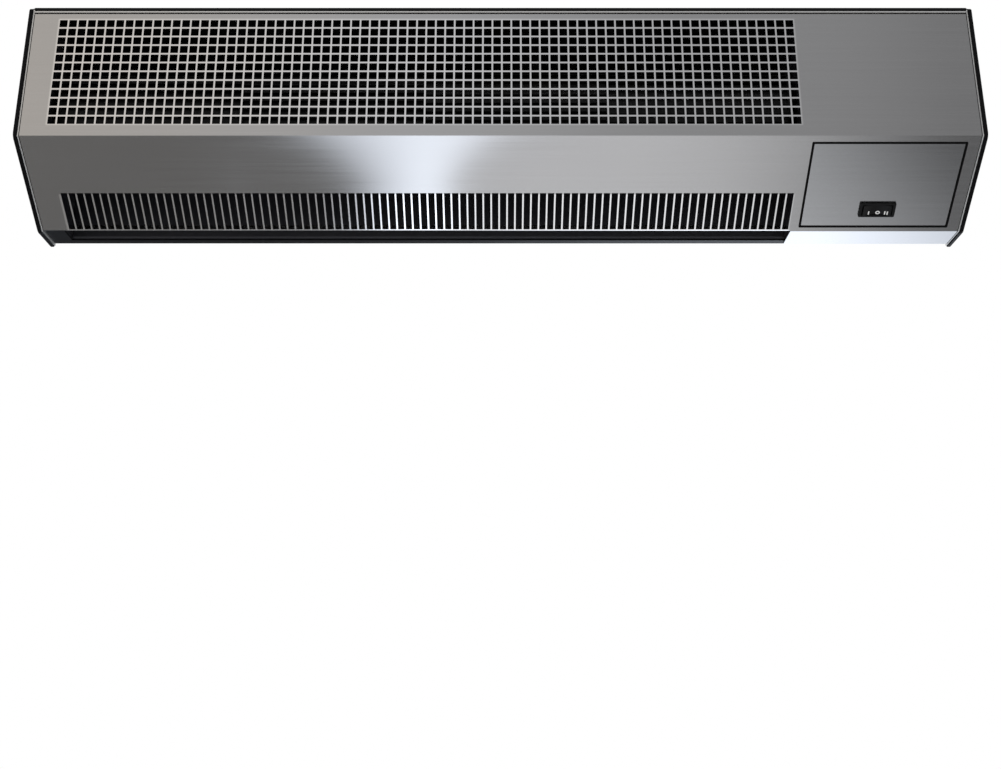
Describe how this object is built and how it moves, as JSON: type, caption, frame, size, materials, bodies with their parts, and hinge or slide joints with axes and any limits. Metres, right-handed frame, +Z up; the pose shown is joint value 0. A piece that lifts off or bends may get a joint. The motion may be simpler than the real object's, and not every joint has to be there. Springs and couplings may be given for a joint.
{
  "type": "air curtain",
  "caption": "Wall-hung air curtain for a lift door: folded brushed-steel cover with square-hole intake grille, outlet slots and rocker switch, black casing and end trims, cross-flow fan inside.",
  "frame": {"origin": "centre of the wall plate's back face, which lies on the wall", "axes": "+X along the unit, to the right as seen from the room; +Y into the wall; +Z up"},
  "size_m": [0.8, 0.1235, 0.1795],
  "materials": {
    "black_paint": "satin black powder coat",
    "black_trim": "satin black moulding",
    "cover_steel": "brushed along the unit",
    "panel_steel": "brushed along the unit",
    "trim_steel": "brushed",
    "zinc_steel": "zinc plated",
    "shaft_steel": "ground",
    "switch_black": "fine satin",
    "rubber": "matt",
    "aluminium": "cast",
    "brass": "bright",
    "copper": "varnished winding wire",
    "pale_plastic": "matt",
    "lamination": "varnished steel stack"
  },
  "bodies": {
    "housing": {"bearing_bush": "brass", "bearing_rubber": "rubber", "bracket_screw_1": "zinc_steel", "bracket_screw_2": "zinc_steel", "bracket_screw_3": "zinc_steel", "bracket_screw_4": "zinc_steel", "cable_grommet": "rubber", "capacitor": "pale_plastic", "capacitor_screw": "zinc_steel", "chamber_plate_left": "black_paint", "chamber_plate_right": "black_paint", "control_panel": "panel_steel", "cover_screw_1": "zinc_steel", "cover_screw_2": "zinc_steel", "cover_screw_3": "zinc_steel", "end_cap_left": "black_trim", "end_cap_right": "black_trim", "end_cap_screw_left_1": "zinc_steel", "end_cap_screw_left_2": "zinc_steel", "end_cap_screw_right_1": "zinc_steel", "end_cap_screw_right_2": "zinc_steel", "end_plate_left": "trim_steel", "end_plate_right": "trim_steel", "front_cover": "cover_steel", "motor_bracket": "zinc_steel", "motor_end_left": "aluminium", "motor_end_right": "aluminium", "motor_lead": "rubber", "motor_ring_left": "rubber", "motor_ring_right": "rubber", "motor_stator": "lamination", "motor_winding_left": "copper", "motor_winding_right": "copper", "panel_nut_1": "zinc_steel", "panel_nut_2": "zinc_steel", "panel_nut_3": "zinc_steel", "panel_nut_4": "zinc_steel", "rear_casing": "black_paint", "scroll": "black_paint", "switch_housing": "switch_black", "switch_lead": "rubber", "switch_terminal_1": "brass", "switch_terminal_2": "brass", "switch_terminal_3": "brass", "terminal_block": "pale_plastic", "tongue": "black_paint", "top_rail": "trim_steel", "wall_plate": "zinc_steel"},
    "fan_rotor": {"impeller": "switch_black", "stub_shaft": "shaft_steel", "drive_rubber": "rubber", "drive_hub": "aluminium", "hub_screw": "shaft_steel", "motor_shaft": "shaft_steel", "motor_rotor": "lamination"},
    "rocker_body": {"rocker": "switch_black"}
  },
  "joints": [
    {"name": "fan_spin", "type": "hinge", "parent": "housing", "child": "fan_rotor", "pos_m": [0, -0.06, 0.0114], "axis": [-1, 0, 0], "continuous": true},
    {"name": "rocker_tilt", "type": "hinge", "parent": "housing", "child": "rocker_body", "pos_m": [0.3213, -0.05894, -0.0729], "axis": [0, -0.838, 0.5456], "range_deg": [-12, 12]}
  ]
}
